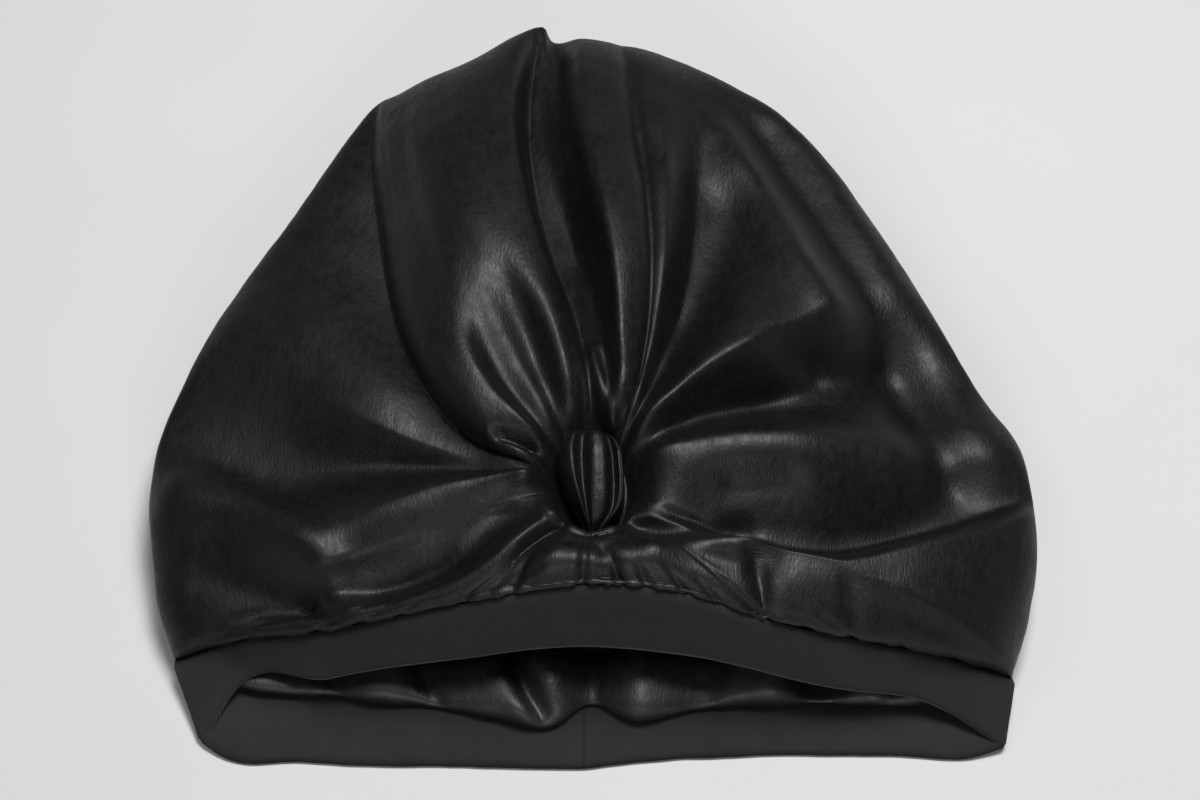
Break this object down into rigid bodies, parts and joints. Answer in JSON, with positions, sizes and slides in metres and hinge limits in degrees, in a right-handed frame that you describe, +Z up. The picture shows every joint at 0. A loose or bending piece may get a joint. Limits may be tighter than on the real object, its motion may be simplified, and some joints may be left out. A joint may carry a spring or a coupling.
{
  "type": "turban headwrap",
  "caption": "Gathered satin turban headwrap with a knotted front, satin lining and stretch headband, lying on its back with its mouth open.",
  "frame": {"origin": "on the surface that the headwrap lies on, under the middle of its box", "axes": "+Z up, away from the surface; +Y from the mouth towards the crown's tip; +X to the right as seen with the knot up and the mouth near"},
  "size_m": [0.282, 0.2611, 0.0705],
  "materials": {
    "satin": "black satin, soft sheen",
    "jersey": "black cotton jersey, matte"
  },
  "bodies": {
    "root": {"crown": "satin", "lining": "satin", "band": "jersey", "knot": "satin"}
  },
  "joints": []
}
